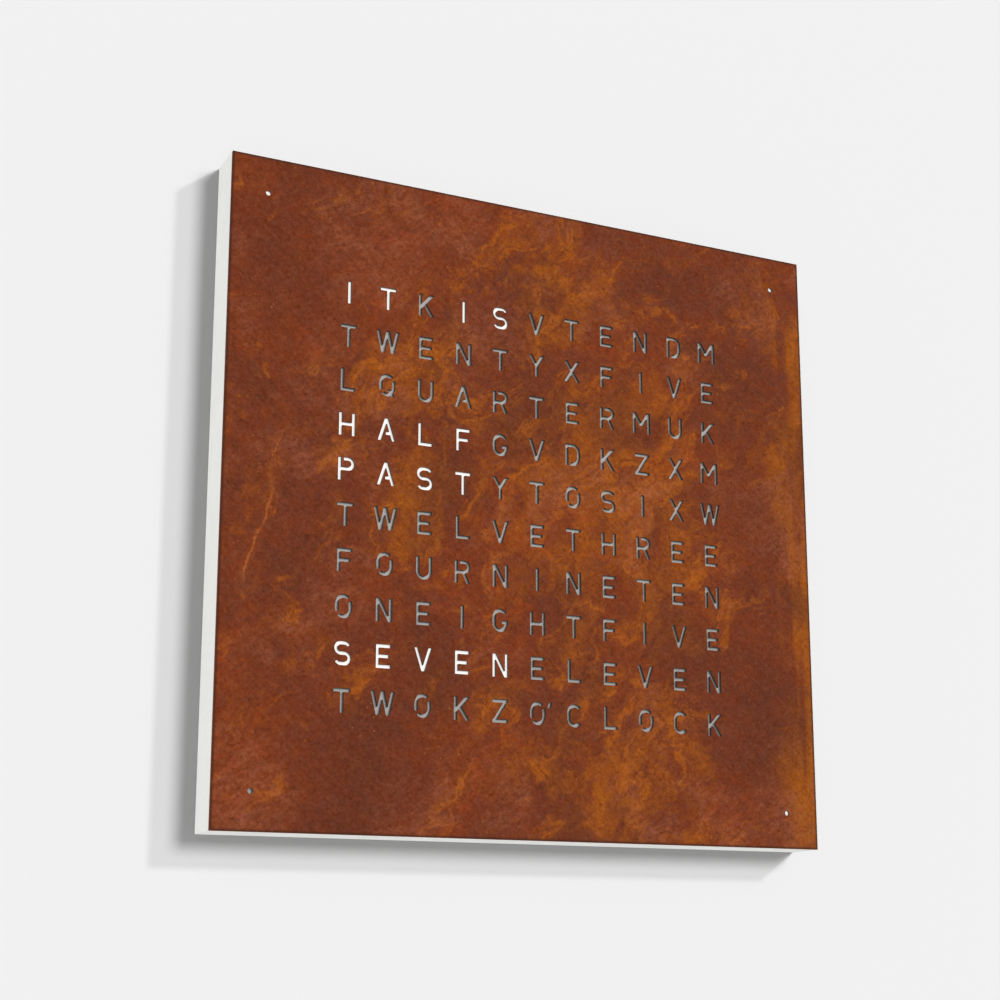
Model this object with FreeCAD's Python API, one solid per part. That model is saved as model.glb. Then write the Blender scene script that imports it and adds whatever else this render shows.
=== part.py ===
import FreeCAD, Part
import math
import os

# Word clock: a stencil-cut steel face on a shallow white wall case.
# Millimetres. The origin is the centre of the back, which lies on the wall.
# The face looks along -Y, +X is to the viewer's right and +Z is up.

Vector = FreeCAD.Vector

# How far a cutting tool reaches past what it cuts
overshoot = 1.0

# Face and case
face_size = 450.0
total_depth = 32.0
plate_thickness = 2.0
face_gap = 0.2
case_wall = 3.0
lip_width = 12.0
lip_thickness = 5.0
panel_thickness = 3.0
panel_clearance = 0.2
boss_size = 12.0

# Letter field
column_pitch = 28.15
row_pitch = 30.95
letter_height = 16.0
stroke = 2.4
bridge = 1.5
narrow_width = 10.4
common_width = 11.6
leaning_width = 12.8
broad_width = 14.4
double_width = 16.8
bend_step = 45
mouth_angle = 35.0
curl_angle = 30.0
notch_angle = 45.0
notch_bridges = 1.6
letter_rows = [
    "ITKISVTENDM",
    "TWENTYXFIVE",
    "LQUARTERMUK",
    "HALFGVDKZXM",
    "PASTYTOSIXW",
    "TWELVETHREE",
    "FOURNINETEN",
    "ONEIGHTFIVE",
    "SEVENELEVEN",
    "TWOKZOCLOCK",
]
apostrophe_row = 9
apostrophe_column = 5
apostrophe_height = 4.2
apostrophe_shift = 9.0
apostrophe_lean = 1.2

# Minute lights in the corners
minute_hole_radius = 1.8
minute_inset = 25.3
minute_tube_size = 9.0
minute_tube_wall = 1.5

# Parts behind the plate that come off with it
diffuser_margin = 15.0
diffuser_thickness = 1.0
tab_length = 14.0
tab_thickness = 1.6
tab_depth = 4.2
tab_inset = 60.0
tab_clearance = 0.4

# Magnets in the lip
magnet_length = 12.0
magnet_width = 6.0
magnet_thickness = 3.0
magnet_clearance = 0.1
magnet_recess = 0.2
magnet_spacing = 120.0

# Light chambers and lamp boards
chamber_wall = 2.0
chamber_taper = 3.0
light_gap = 0.2
board_thickness = 1.6
board_edge = 19.0
board_split = 0.6
board_seat = 14.0
lamp_size = 5.0
lamp_thickness = 1.5
ear_size = 10.0
ear_thickness = 3.0
peg_size = 4.0
peg_clearance = 0.2
peg_proud = 0.8
post_size = 8.0
side_post_inset = 32.0
side_post_height = 14.0

# Wall hangers
hanger_inset = 75.0
hanger_height = 120.0
hanger_width = 50.0
hanger_tall = 34.0
hanger_thickness = 2.0
keyhole_entry_radius = 5.0
keyhole_slot_radius = 2.5
keyhole_rise = 12.0
keyhole_drop = 6.0
head_pocket_depth = 9.0
head_pocket_width = 26.0
head_pocket_tall = 28.0
pocket_wall = 1.5
hanger_screw_offset = 19.0

# Screws
round_sides = 10
screw_radius = 1.5
screw_head_radius = 2.8
screw_head_height = 1.7
screw_length = 12.0
screw_clearance = 0.15
thread_clearance = 0.02
bore_extra = 1.0
hanger_screw_length = 7.0

# Plug bay and power inlet
bay_centre_z = -97.0
bay_width = 40.0
bay_height = 50.0
bay_depth = 10.0
inlet_width = 9.0
inlet_length = 14.0
inlet_bore_radius = 2.85
inlet_bore_depth = 10.0
inlet_pin_radius = 1.0
inlet_pin_length = 9.0

# Control electronics
control_centre_x = 84.0
control_centre_z = -90.0
control_width = 90.0
control_height = 60.0
standoff_height = 3.0
standoff_size = 6.0
standoff_inset = 6.0
control_peg_size = 3.0
chip_size = 12.0
chip_thickness = 1.4
driver_width = 8.0
driver_height = 10.0
driver_pitch = 14.0
driver_count = 4
crystal_length = 10.0
crystal_width = 4.0
crystal_thickness = 3.2
cell_radius = 10.0
cell_thickness = 3.2
holder_size = 24.0
holder_thickness = 4.4
capacitor_radius = 3.2
capacitor_height = 5.4
capacitor_base = 6.8
capacitor_base_height = 0.8
socket_length = 20.0
socket_width = 5.0
socket_share = 0.5
link_length = 24.0
link_width = 10.0
link_thickness = 2.6

# Setting buttons in the right side
button_pitch = 15.0
button_centre_z = -90.0
button_centre_y = -13.0
button_length = 8.0
button_width = 4.5
button_proud = 0.8
button_clearance = 0.3
button_travel = 0.5
button_flange = 1.0
button_lip = 1.2
button_stem = 2.4
button_slack = 0.1
key_board_reach = 10.0
key_board_length = 50.0
key_board_height = 16.0
key_board_lift = 1.0
switch_size = 6.0
switch_thickness = 3.5
nub_size = 2.5
nub_height = 0.8
bracket_width = 5.0
bracket_reach = 4.0
bracket_clearance = 0.15

# Light sensor in the top
sensor_x = 84.0
sensor_centre_y = -13.0
window_size = 5.0
window_flange = 1.0
window_lip = 1.0
window_length = 5.8
sensor_gap = 0.3
sensor_size = 4.0
sensor_thickness = 1.2
sensor_board_width = 24.0
sensor_board_height = 16.0

# Flat leads on the back panel
lead_width = 6.0
lead_thickness = 0.4
lead_rise = 3.4

# Heights along Y that follow from the sizes above
half_face = face_size / 2
plate_front = -total_depth
plate_back = plate_front + plate_thickness
case_front = plate_back + face_gap
lip_back = case_front + lip_thickness
panel_front = -panel_thickness
lamp_board_back = -board_seat
lamp_board_front = lamp_board_back - board_thickness
diffuser_back = plate_back + diffuser_thickness
chamber_front = diffuser_back + light_gap
inner_half = half_face - case_wall
lip_half = half_face - lip_width
lip_middle = half_face - lip_width / 2
boss_centre = inner_half - boss_size / 2
panel_half = inner_half - panel_clearance
board_half = half_face - board_edge
key_board_x = inner_half - key_board_reach
hanger_spacing = face_size - 2 * hanger_inset
diffuser_size = face_size - 2 * diffuser_margin
tab_spacing = face_size - 2 * tab_inset
control_back = panel_front - standoff_height
control_front = control_back - board_thickness
chip_column = -control_width / 4
cell_column = control_width / 4
cell_row = -control_height / 10
lower_row = -control_height / 3
upper_row = control_height / 2 - driver_height
columns = len(letter_rows[0])
rows = len(letter_rows)
chamber_half_width = columns * column_pitch / 2
chamber_half_height = rows * row_pitch / 2
ear_offset = chamber_wall / 2 + ear_size / 2
ear_x = chamber_half_width + ear_offset
ear_z = chamber_half_height - ear_size / 2
cap = letter_height / 2


def block(x, z, width, height, front, back):
    """A box centred on x and z, from its front to its back along Y."""
    corner = Vector(x - width / 2, front, z - height / 2)
    return Part.makeBox(width, back - front, height, corner)


def rod(x, z, radius, front, back):
    """A round bar along Y."""
    return Part.makeCylinder(radius, back - front, Vector(x, front, z), Vector(0, 1, 0))


def between(near, far):
    """A solid with flat sides between two rings of the same number of points."""
    count = len(near)
    faces = [Part.Face(Part.makePolygon(ring + ring[:1])) for ring in (near, far)]
    for step in range(count):
        after = (step + 1) % count
        corners = [near[step], near[after], far[after], far[step], near[step]]
        faces.append(Part.Face(Part.makePolygon(corners)))
    solid = Part.Solid(Part.Shell(faces))
    return solid if solid.Volume > 0 else solid.reversed()


def small_round(x, z, front_radius, back_radius, front, back):
    """A small many-sided bar or taper along Y, for screws and their holes."""
    def ring(radius, y):
        turns = [2 * math.pi * step / round_sides for step in range(round_sides)]
        return [Vector(x + radius * math.cos(turn), y, z + radius * math.sin(turn))
                for turn in turns]
    return between(ring(front_radius, front), ring(back_radius, back))


def union(solids):
    """One solid from several that touch."""
    return solids[0].multiFuse(solids[1:]).removeSplitter()


def group(solids):
    """Separate solids that share a node."""
    return Part.makeCompound(solids)


def four_corners(x, z):
    """The four mirrored places of one corner."""
    return [(sign_x * x, sign_z * z) for sign_z in (1, -1) for sign_x in (-1, 1)]


# Letters: each is a set of slots drawn on the plane y = 0 round its own centre

def polygon(points):
    """A flat piece with straight edges."""
    ring = [Vector(x, 0, z) for x, z in points]
    return Part.Face(Part.makePolygon(ring + ring[:1]))


def level(x0, x1, z):
    """A horizontal slot between two ends, on its centre line."""
    half = stroke / 2
    return polygon([(x0, z - half), (x1, z - half), (x1, z + half), (x0, z + half)])


def upright(x, z0, z1):
    """A vertical slot on its centre line."""
    half = stroke / 2
    return polygon([(x - half, z0), (x + half, z0), (x + half, z1), (x - half, z1)])


def half_lean(run, rise):
    """Half the level width of a slot that leans."""
    return stroke / 2 * math.hypot(run, rise) / abs(rise)


def slant(x0, z0, x1, z1):
    """A leaning slot with level ends."""
    half = half_lean(x1 - x0, z1 - z0)
    return polygon([(x0 - half, z0), (x0 + half, z0), (x1 + half, z1), (x1 - half, z1)])


def bend(x, z, radius, start, end):
    """A curved slot in short flats about a centre, between two angles in degrees."""
    steps = math.ceil(abs(end - start) / bend_step - 0.01)
    turns = [math.radians(start + (end - start) * step / steps) for step in range(steps + 1)]
    outer = radius + stroke / 2
    inner = radius - stroke / 2
    outside = [(x + outer * math.cos(turn), z + outer * math.sin(turn)) for turn in turns]
    inside = [(x + inner * math.cos(turn), z + inner * math.sin(turn)) for turn in turns]
    return polygon(outside + inside[::-1])


def side(width):
    """The centre line of a letter's outer upright."""
    return (width - stroke) / 2


top_line = cap - stroke / 2
base_line = -top_line
bowl_radius = side(common_width)
bowl_centre = top_line - bowl_radius
small_bowl = top_line / 2
gap_turn = math.degrees(bridge / bowl_radius)


def letter_a():
    foot = leaning_width / 2 - half_lean(leaning_width / 2, letter_height)
    bar_height = -cap / 3
    leg = foot * (cap - bar_height) / letter_height
    bar_start = -leg + half_lean(foot, letter_height) + bridge
    legs = [slant(-foot, -cap, 0, cap), slant(foot, -cap, 0, cap)]
    return legs + [level(bar_start, leg, bar_height)]


def letter_c():
    return [
        bend(0, bowl_centre, bowl_radius, mouth_angle, 180),
        upright(-bowl_radius, -bowl_centre, bowl_centre),
        bend(0, -bowl_centre, bowl_radius, 180, 360 - mouth_angle),
    ]


def letter_d():
    stem = side(common_width)
    centre = stem - bowl_radius
    return [
        upright(-stem, -cap, cap),
        level(-stem, centre, top_line),
        bend(centre, bowl_centre, bowl_radius, 0, 90),
        upright(stem, -bowl_centre, bowl_centre),
        bend(centre, -bowl_centre, bowl_radius, 270, 360),
        level(-stem + stroke / 2 + bridge, centre, base_line),
    ]


def letter_e():
    return letter_f() + [level(-narrow_width / 2, narrow_width / 2, base_line)]


def letter_f():
    half = narrow_width / 2
    arm = half - stroke / 2
    return [
        upright(-side(narrow_width), -cap, cap),
        level(-half, half, top_line),
        level(-half, arm, 0),
    ]


def letter_g():
    return [
        bend(0, bowl_centre, bowl_radius, mouth_angle, 180),
        upright(-bowl_radius, -bowl_centre, bowl_centre),
        bend(0, -bowl_centre, bowl_radius, 180, 360),
        upright(bowl_radius, -bowl_centre, 0),
        level(stroke / 2, bowl_radius + stroke / 2, -stroke / 2),
    ]


def letter_h():
    stem = side(common_width)
    return [upright(-stem, -cap, cap), upright(stem, -cap, cap), level(-stem, stem, 0)]


def letter_i():
    return [upright(0, -cap, cap)]


def letter_k():
    stem = side(common_width)
    reach = common_width / 2 - half_lean(common_width, letter_height)
    fork = -stem / 3
    fork_height = cap / 8
    return [
        upright(-stem, -cap, cap),
        slant(-stem, -cap / 4, reach, cap),
        slant(fork, fork_height, reach, -cap),
    ]


def letter_l():
    return [
        upright(-side(narrow_width), -cap, cap),
        level(-narrow_width / 2, narrow_width / 2, base_line),
    ]


def letter_m():
    stem = side(broad_width)
    start = broad_width / 2 - half_lean(broad_width / 2, letter_height)
    dip = -cap / 4
    return [
        upright(-stem, -cap, cap),
        upright(stem, -cap, cap),
        slant(-start, cap, 0, dip),
        slant(start, cap, 0, dip),
    ]


def letter_n():
    stem = side(common_width)
    start = common_width / 2 - half_lean(common_width, letter_height)
    return [
        upright(-stem, -cap, cap),
        upright(stem, -cap, cap),
        slant(-start, cap, start, -cap),
    ]


def letter_o():
    near = notch_angle - notch_bridges * gap_turn
    half_ring = [
        bend(0, bowl_centre, bowl_radius, notch_angle, 180),
        upright(-bowl_radius, -bowl_centre, bowl_centre),
    ]
    other_half = [turned(piece) for piece in half_ring]
    ends = [
        bend(0, bowl_centre, bowl_radius, 0, near),
        bend(0, -bowl_centre, bowl_radius, 180, 180 + near),
    ]
    return half_ring + other_half + ends


def letter_p():
    stem = side(common_width)
    centre = common_width / 2 - stroke / 2 - small_bowl
    return [
        upright(-stem, -cap, cap),
        level(-stem + stroke / 2 + bridge, centre, top_line),
        bend(centre, small_bowl, small_bowl, -90, 90),
        level(-stem, centre, 0),
    ]


def letter_q():
    reach = common_width / 2 - half_lean(common_width / 2, cap)
    return letter_o() + [slant(stroke / 2, -cap / 3, reach, -cap)]


def letter_r():
    reach = common_width / 2 - half_lean(common_width / 2, cap)
    return letter_p() + [slant(stroke / 4, 0, reach, -cap)]


def letter_s():
    shift = side(common_width) - small_bowl
    return [
        bend(shift, small_bowl, small_bowl, curl_angle, 90),
        level(-shift, shift, top_line),
        bend(-shift, small_bowl, small_bowl, 90, 270),
        level(-shift, shift, 0),
        bend(shift, -small_bowl, small_bowl, -90, 90),
        level(-shift, shift, base_line),
        bend(-shift, -small_bowl, small_bowl, 180 + curl_angle, 270),
    ]


def letter_t():
    return [upright(0, -cap, cap), level(-common_width / 2, common_width / 2, top_line)]


def letter_u():
    return [
        upright(-bowl_radius, -bowl_centre, cap),
        bend(0, -bowl_centre, bowl_radius, 180, 360),
        upright(bowl_radius, -bowl_centre, cap),
    ]


def letter_v():
    arm = leaning_width / 2 - half_lean(leaning_width / 2, letter_height)
    return [slant(-arm, cap, 0, -cap), slant(arm, cap, 0, -cap)]


def letter_w():
    quarter = double_width / 4
    arm = double_width / 2 - half_lean(quarter, letter_height)
    foot = arm / 2
    return [
        slant(-arm, cap, -foot, -cap),
        slant(0, cap, -foot, -cap),
        slant(0, cap, foot, -cap),
        slant(arm, cap, foot, -cap),
    ]


def letter_x():
    arm = leaning_width / 2 - half_lean(leaning_width, letter_height)
    return [slant(-arm, cap, arm, -cap), slant(arm, cap, -arm, -cap)]


def letter_y():
    arm = leaning_width / 2 - half_lean(leaning_width / 2, cap)
    return [slant(-arm, cap, 0, 0), slant(arm, cap, 0, 0), upright(0, -cap, stroke / 4)]


def letter_z():
    half = common_width / 2
    arm = half - half_lean(common_width, letter_height)
    return [
        level(-half, half, top_line),
        slant(arm, top_line, -arm, base_line),
        level(-half, half, base_line),
    ]


def turned(piece):
    """A piece turned half round the letter's centre."""
    copy = piece.copy()
    copy.rotate(Vector(0, 0, 0), Vector(0, 1, 0), 180)
    return copy


letter_shapes = {
    "A": letter_a, "C": letter_c, "D": letter_d, "E": letter_e, "F": letter_f,
    "G": letter_g, "H": letter_h, "I": letter_i, "K": letter_k, "L": letter_l,
    "M": letter_m, "N": letter_n, "O": letter_o, "P": letter_p, "Q": letter_q,
    "R": letter_r, "S": letter_s, "T": letter_t, "U": letter_u, "V": letter_v,
    "W": letter_w, "X": letter_x, "Y": letter_y, "Z": letter_z,
}


def cell_centre(column, row):
    """The middle of one letter's place."""
    x = (column - (columns - 1) / 2) * column_pitch
    z = ((rows - 1) / 2 - row) * row_pitch
    return x, z


def placed(shape, x, z, y=0.0):
    """A copy of a shape moved to its place."""
    copy = shape.copy()
    copy.translate(Vector(x, y, z))
    return copy


def letter_cutter(name):
    """The tool that cuts one letter through the plate."""
    pieces = letter_shapes[name]()
    outline = union(pieces) if len(pieces) > 1 else pieces[0]
    outline.translate(Vector(0, plate_front - overshoot, 0))
    return outline.extrude(Vector(0, plate_thickness + 2 * overshoot, 0))


def apostrophe():
    """The short leaning mark after the single O of the last row."""
    mark = slant(apostrophe_lean / 2, cap, -apostrophe_lean / 2, cap - apostrophe_height)
    x, z = cell_centre(apostrophe_column, apostrophe_row)
    mark.translate(Vector(x + apostrophe_shift, plate_front - overshoot, z))
    return mark.extrude(Vector(0, plate_thickness + 2 * overshoot, 0))


def minute_spots():
    """The four corner lights."""
    offset = half_face - minute_inset
    return four_corners(offset, offset)


def cells():
    """Every letter's place with its letter."""
    found = []
    for row, text in enumerate(letter_rows):
        for column, name in enumerate(text):
            x, z = cell_centre(column, row)
            found.append((name, x, z))
    return found


def face_plate():
    tools = {name: letter_cutter(name) for name in sorted(set("".join(letter_rows)))}
    cuts = [placed(tools[name], x, z) for name, x, z in cells()]
    cuts.append(apostrophe())
    for x, z in minute_spots():
        cuts.append(small_round(x, z, minute_hole_radius, minute_hole_radius,
                                plate_front - overshoot, plate_back + overshoot))
    plate = block(0, 0, face_size, face_size, plate_front, plate_back)
    return plate.cut(group(cuts))


def letter_diffuser():
    return block(0, 0, diffuser_size, diffuser_size, plate_back, diffuser_back)


def tab_spots():
    """Places of the locating tabs, with the tab's width and height."""
    half = tab_spacing / 2
    return [(sign * lip_middle, end * half) for sign in (-1, 1) for end in (-1, 1)]


def locating_tabs():
    back = plate_back + tab_depth
    return group([block(x, z, tab_thickness, tab_length, plate_back, back) for x, z in tab_spots()])


def magnet_spots():
    """Places of the magnets: three on each side of the lip."""
    spots = []
    for step in (-1, 0, 1):
        for sign in (-1, 1):
            spots.append((step * magnet_spacing, sign * lip_middle, magnet_length, magnet_width))
            spots.append((sign * lip_middle, step * magnet_spacing, magnet_width, magnet_length))
    return spots


def face_magnets():
    front = case_front + magnet_recess
    back = front + magnet_thickness
    return group([block(x, z, w, h, front, back) for x, z, w, h in magnet_spots()])


def screw_spots():
    """Screw bosses in the four corners."""
    return four_corners(boss_centre, boss_centre)


def rest_spots():
    """Plain bosses that the back panel rests on at the middle of each side."""
    return [(boss_centre, 0), (-boss_centre, 0), (0, boss_centre), (0, -boss_centre)]


def button_spots():
    """Heights of the three setting buttons."""
    return [button_centre_z + step * button_pitch for step in (1, 0, -1)]


def side_box(x0, x1, y, z, width, height):
    """A box between two x places, centred on y and z."""
    corner = Vector(x0, y - width / 2, z - height / 2)
    return Part.makeBox(x1 - x0, width, height, corner)


def top_box(z0, z1, x, y, length, width):
    """A box between two heights, centred on x and y."""
    corner = Vector(x - length / 2, y - width / 2, z0)
    return Part.makeBox(length, width, z1 - z0, corner)


def case_frame():
    shell = block(0, 0, face_size, face_size, case_front, 0)
    inside = block(0, 0, 2 * inner_half, 2 * inner_half, lip_back, overshoot)
    window = block(0, 0, 2 * lip_half, 2 * lip_half, case_front - overshoot, 0)
    frame = shell.cut(inside).cut(window)
    bosses = [block(x, z, boss_size, boss_size, lip_back, panel_front)
              for x, z in screw_spots() + rest_spots()]
    frame = union([frame] + bosses)
    cuts = []
    bore_depth = screw_length + bore_extra
    bore_radius = screw_radius + thread_clearance
    for x, z in screw_spots():
        cuts.append(small_round(x, z, bore_radius, bore_radius, -bore_depth, panel_front))
    pocket_back = case_front + magnet_recess + magnet_thickness
    for x, z, width, height in magnet_spots():
        wide = width + 2 * magnet_clearance
        tall = height + 2 * magnet_clearance
        cuts.append(block(x, z, wide, tall, case_front - overshoot, pocket_back))
    for x, z in tab_spots():
        wide = tab_thickness + 2 * tab_clearance
        tall = tab_length + 2 * tab_clearance
        cuts.append(block(x, z, wide, tall, case_front - overshoot, plate_back + tab_depth + tab_clearance))
    for z in button_spots():
        wide = button_width + 2 * button_clearance
        tall = button_length + 2 * button_clearance
        cuts.append(side_box(inner_half - overshoot, half_face + overshoot, button_centre_y, z, wide, tall))
    cuts.append(top_box(inner_half - overshoot, half_face + overshoot, sensor_x, sensor_centre_y,
                        window_size, window_size))
    return frame.cut(group(cuts))


def screw(x, z, length):
    """A countersunk screw whose head lies flush with the back of the clock."""
    neck = -screw_head_height
    head = small_round(x, z, screw_radius, screw_head_radius, neck, 0)
    return union([head, small_round(x, z, screw_radius, screw_radius, -length, neck)])


def screw_hole(x, z, front):
    """A countersunk hole from the back of the clock, with room round the screw."""
    radius = screw_radius + screw_clearance
    mouth = screw_head_radius + screw_clearance
    neck = -screw_head_height
    sink = small_round(x, z, radius, mouth, neck, 0)
    return union([sink, small_round(x, z, radius, radius, front, neck)])


def back_panel_screws():
    return group([screw(x, z, screw_length) for x, z in screw_spots()])


def hanger_spots():
    return [(-hanger_spacing / 2, hanger_height), (hanger_spacing / 2, hanger_height)]


def grid_post_spots():
    return four_corners(ear_x, ear_z)


def side_post_spots():
    """Posts beside the split between the two lamp boards."""
    return four_corners(half_face - side_post_inset, side_post_height)


def control_peg_spots():
    x = control_width / 2 - standoff_inset
    z = control_height / 2 - standoff_inset
    return [(control_centre_x + dx, control_centre_z + dz) for dx, dz in four_corners(x, z)]


def key_bracket_spots():
    """Middles of the two brackets that hold the ends of the key board."""
    reach = key_board_length / 2
    return [button_centre_z - reach, button_centre_z + reach]


def key_brackets():
    """Two upright blocks with a groove for the key board."""
    middle = key_board_x + board_thickness / 2
    front = panel_front - key_board_lift - key_board_height / 2
    blocks = []
    for z in key_bracket_spots():
        blocks.append(block(middle, z, 2 * bracket_reach, bracket_width, front, panel_front))
    return blocks


def key_board_slot():
    """Room for the key board in its brackets."""
    middle = key_board_x + board_thickness / 2
    wide = board_thickness + 2 * bracket_clearance
    long = key_board_length + 2 * bracket_clearance
    front = panel_front - key_board_lift - key_board_height - overshoot
    return block(middle, button_centre_z, wide, long, front, panel_front - key_board_lift)


def sensor_board_z():
    """Height of the sensor board's upper face under the top window."""
    return inner_half - window_flange - window_length - sensor_gap - sensor_thickness


def sensor_brackets():
    middle = sensor_board_z() - board_thickness / 2
    front = panel_front - key_board_lift - sensor_board_height / 2
    blocks = []
    for sign in (-1, 1):
        x = sensor_x + sign * sensor_board_width / 2
        blocks.append(block(x, middle, bracket_width, 2 * bracket_reach, front, panel_front))
    return blocks


def sensor_board_slot():
    middle = sensor_board_z() - board_thickness / 2
    wide = sensor_board_width + 2 * bracket_clearance
    tall = board_thickness + 2 * bracket_clearance
    front = panel_front - key_board_lift - sensor_board_height - overshoot
    return block(sensor_x, middle, wide, tall, front, panel_front - key_board_lift)


def back_panel():
    panel = block(0, 0, 2 * panel_half, 2 * panel_half, panel_front, 0)
    adds = []
    cuts = []
    bore_radius = screw_radius + thread_clearance
    grid_peg_front = lamp_board_front - ear_thickness - peg_proud
    board_peg_front = lamp_board_front - peg_proud
    for spots, peg_front in ((grid_post_spots(), grid_peg_front),
                             (side_post_spots(), board_peg_front)):
        for x, z in spots:
            adds.append(block(x, z, post_size, post_size, lamp_board_back, panel_front))
            adds.append(block(x, z, peg_size, peg_size, peg_front, lamp_board_back))
    control_peg_front = control_front - peg_proud
    for x, z in control_peg_spots():
        adds.append(block(x, z, standoff_size, standoff_size, control_back, panel_front))
        adds.append(block(x, z, control_peg_size, control_peg_size, control_peg_front, control_back))
    adds += key_brackets() + sensor_brackets()
    for x, z in hanger_spots():
        wide = hanger_width + 2 * pocket_wall
        tall = hanger_tall + 2 * pocket_wall
        adds.append(block(x, z, wide, tall, -head_pocket_depth - pocket_wall, panel_front))
        cuts.append(block(x, z, hanger_width + 2 * panel_clearance,
                          hanger_tall + 2 * panel_clearance, -hanger_thickness, overshoot))
        cuts.append(block(x, z, head_pocket_width, head_pocket_tall, -head_pocket_depth, 0))
        for sign in (-1, 1):
            bore_x = x + sign * hanger_screw_offset
            cuts.append(small_round(bore_x, z, bore_radius, bore_radius,
                                    -hanger_screw_length - bore_extra, 0))
    bay_front = -bay_depth - pocket_wall
    adds.append(block(0, bay_centre_z, bay_width + 2 * pocket_wall,
                      bay_height + 2 * pocket_wall, bay_front, panel_front))
    cuts.append(block(0, bay_centre_z, bay_width, bay_height, -bay_depth, overshoot))
    niche_width = inlet_width + 2 * panel_clearance
    niche_middle = inlet_place()[1] + inlet_length / 2
    adds.append(block(0, niche_middle, niche_width + 2 * pocket_wall,
                      inlet_length + 2 * pocket_wall, bay_front, panel_front))
    cuts.append(block(0, niche_middle, niche_width, inlet_length, -bay_depth, overshoot))
    for x, z in screw_spots():
        cuts.append(screw_hole(x, z, panel_front - overshoot))
    cuts.append(key_board_slot())
    cuts.append(sensor_board_slot())
    return union([panel] + adds).cut(group(cuts))


def hanger(x):
    """A steel keyhole plate: the wall screw's head enters below and its shank slides up."""
    plate = block(x, hanger_height, hanger_width, hanger_tall, -hanger_thickness, 0)
    entry_z = hanger_height - keyhole_drop
    entry = rod(x, entry_z, keyhole_entry_radius, -hanger_thickness - overshoot, overshoot)
    slot_end = rod(x, entry_z + keyhole_rise, keyhole_slot_radius, -hanger_thickness - overshoot, overshoot)
    slot = block(x, entry_z + keyhole_rise / 2, 2 * keyhole_slot_radius, keyhole_rise,
                 -hanger_thickness - overshoot, overshoot)
    cuts = [union([entry, slot_end, slot])]
    for sign in (-1, 1):
        cuts.append(screw_hole(x + sign * hanger_screw_offset, hanger_height,
                               -hanger_thickness - overshoot))
    return plate.cut(group(cuts))


def hanger_screws():
    spots = []
    for x, z in hanger_spots():
        spots += [(x - hanger_screw_offset, z), (x + hanger_screw_offset, z)]
    return group([screw(x, z, hanger_screw_length) for x, z in spots])


def light_grid():
    """A moulded block of tapered light chambers, one behind each letter."""
    wide = 2 * chamber_half_width + chamber_wall
    tall = 2 * chamber_half_height + chamber_wall
    body = block(0, 0, wide, tall, chamber_front, lamp_board_front)
    ear_front = lamp_board_front - ear_thickness
    ears = [block(x, z, ear_size, ear_size, ear_front, lamp_board_front)
            for x, z in grid_post_spots()]
    body = union([body] + ears)
    hole = peg_size + 2 * peg_clearance
    cuts = [block(x, z, hole, hole, ear_front - overshoot, lamp_board_front + overshoot)
            for x, z in grid_post_spots()]
    chamber = chamber_space()
    cuts += [placed(chamber, x, z) for _, x, z in cells()]
    return body.cut(group(cuts))


def chamber_space():
    """The hollow of one light chamber: narrow at the lamp and wide at the letter."""
    def ring(shrink, y):
        half_x = (column_pitch - chamber_wall) / 2 - shrink
        half_z = (row_pitch - chamber_wall) / 2 - shrink
        return [Vector(sx * half_x, y, sz * half_z)
                for sx, sz in ((-1, -1), (1, -1), (1, 1), (-1, 1))]
    return between(ring(0, chamber_front), ring(chamber_taper, lamp_board_front))


def lamp_board(sign):
    """Half of the lamp carrier: the upper half for +1, the lower half for -1."""
    height = board_half - board_split / 2
    middle = sign * (board_split / 2 + height / 2)
    board = block(0, middle, 2 * board_half, height, lamp_board_front, lamp_board_back)
    hole = peg_size + 2 * peg_clearance
    cuts = []
    for x, z in grid_post_spots() + side_post_spots():
        if z * sign > 0:
            cuts.append(block(x, z, hole, hole, lamp_board_front - overshoot, lamp_board_back + overshoot))
    return board.cut(group(cuts))


def lamp(x, z):
    return block(x, z, lamp_size, lamp_size, lamp_board_front - lamp_thickness, lamp_board_front)


def letter_lamps():
    return group([lamp(x, z) for _, x, z in cells()])


def minute_lamps():
    return group([lamp(x, z) for x, z in minute_spots()])


def minute_tubes():
    """Square light tubes from the corner lamps to the corner holes."""
    inner = minute_tube_size - 2 * minute_tube_wall
    tubes = []
    for x, z in minute_spots():
        outside = block(x, z, minute_tube_size, minute_tube_size, chamber_front, lamp_board_front)
        inside = block(x, z, inner, inner, chamber_front - overshoot, lamp_board_front + overshoot)
        tubes.append(outside.cut(inside))
    return group(tubes)


def board_link():
    """The connector that joins the two lamp boards behind their split."""
    return block(0, 0, link_length, link_width, lamp_board_back, lamp_board_back + link_thickness)


def control_spot(dx, dz):
    """A place on the control board from its middle."""
    return control_centre_x + dx, control_centre_z + dz


def on_board(dx, dz, width, height, thickness):
    """A block that sits on the front of the control board."""
    x, z = control_spot(dx, dz)
    return block(x, z, width, height, control_front - thickness, control_front)


def control_board():
    board = block(control_centre_x, control_centre_z, control_width, control_height,
                  control_front, control_back)
    hole = control_peg_size + 2 * peg_clearance
    return board.cut(group([block(x, z, hole, hole, control_front - overshoot, control_back + overshoot)
                            for x, z in control_peg_spots()]))


def control_chip():
    return on_board(chip_column, 0, chip_size, chip_size, chip_thickness)


def driver_chips():
    first = -(driver_count - 1) / 2
    return group([on_board((first + step) * driver_pitch, upper_row, driver_width, driver_height,
                           chip_thickness) for step in range(driver_count)])


def quartz_crystal():
    return on_board(chip_column + chip_size, 0, crystal_width, crystal_length, crystal_thickness)


def cell_place():
    return control_spot(cell_column, cell_row)


def backup_cell():
    x, z = cell_place()
    front = control_front - holder_thickness + (holder_thickness - cell_thickness) / 2
    return rod(x, z, cell_radius, front, front + cell_thickness)


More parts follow.
